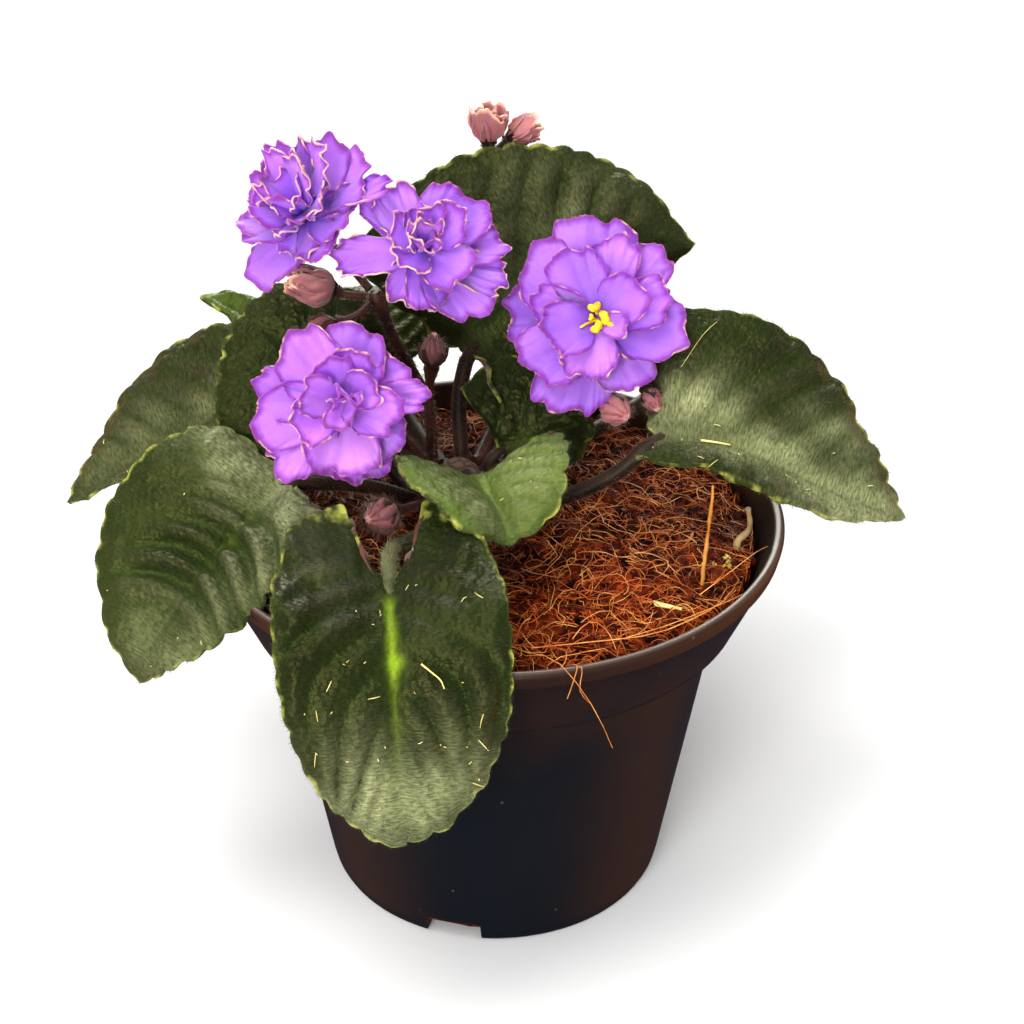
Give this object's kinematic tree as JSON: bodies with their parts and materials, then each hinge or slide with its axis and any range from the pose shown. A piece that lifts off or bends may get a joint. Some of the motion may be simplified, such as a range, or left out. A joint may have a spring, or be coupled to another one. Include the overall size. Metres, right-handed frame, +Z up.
{
  "type": "potted african violet",
  "caption": "Flowering african violet: a rosette of hairy scalloped leaves and ruffled double violet flowers in a flared plastic nursery pot of coir.",
  "frame": {"origin": "middle of the pot's underside, on the surface the pot stands on", "axes": "+Z up along the pot's axis; -Y is the front, over which the longest leaf hangs; +X is to the right seen from the front"},
  "size_m": [0.1897, 0.1622, 0.1752],
  "materials": {
    "pot_plastic": "satin",
    "coir": "matte",
    "crown_bark": "matte",
    "leaf": "satin",
    "stem": "satin",
    "petal": "matte",
    "anther": "matte",
    "bud": "matte",
    "straw": "matte"
  },
  "bodies": {
    "root": {"bud_front_young": "bud", "bud_left_hanging": "bud", "bud_left_large": "bud", "bud_middle": "bud", "bud_right_hairy": "bud", "bud_right_round": "bud", "bud_top_open": "bud", "bud_top_second": "bud", "coir_mix": "coir", "crown": "crown_bark", "dry_root": "straw", "flower_front_centre_petals": "petal", "flower_front_inner_petals": "petal", "flower_front_outer_petals": "petal", "flower_front_stalk": "stem", "flower_right_anthers": "anther", "flower_right_inner_petals": "petal", "flower_right_outer_petals": "petal", "flower_right_stalk": "stem", "flower_stem_back": "stem", "flower_stem_front": "stem", "flower_stem_left": "stem", "flower_stem_right": "stem", "flower_top_centre_petals": "petal", "flower_top_inner_petals": "petal", "flower_top_outer_petals": "petal", "flower_top_stalk": "stem", "flower_upper_left_centre_petals": "petal", "flower_upper_left_inner_petals": "petal", "flower_upper_left_outer_petals": "petal", "flower_upper_left_stalk": "stem", "leaf_back": "leaf", "leaf_back_left": "leaf", "leaf_centre": "leaf", "leaf_front": "leaf", "leaf_left": "leaf", "leaf_left_back": "leaf", "leaf_left_front": "leaf", "leaf_left_rear": "leaf", "leaf_middle": "leaf", "leaf_right": "leaf", "leaf_right_back": "leaf", "leaf_upper_left": "leaf", "leaf_upper_right": "leaf", "nursery_pot": "pot_plastic", "straw_chip": "straw", "straw_upright": "straw"}
  },
  "joints": []
}
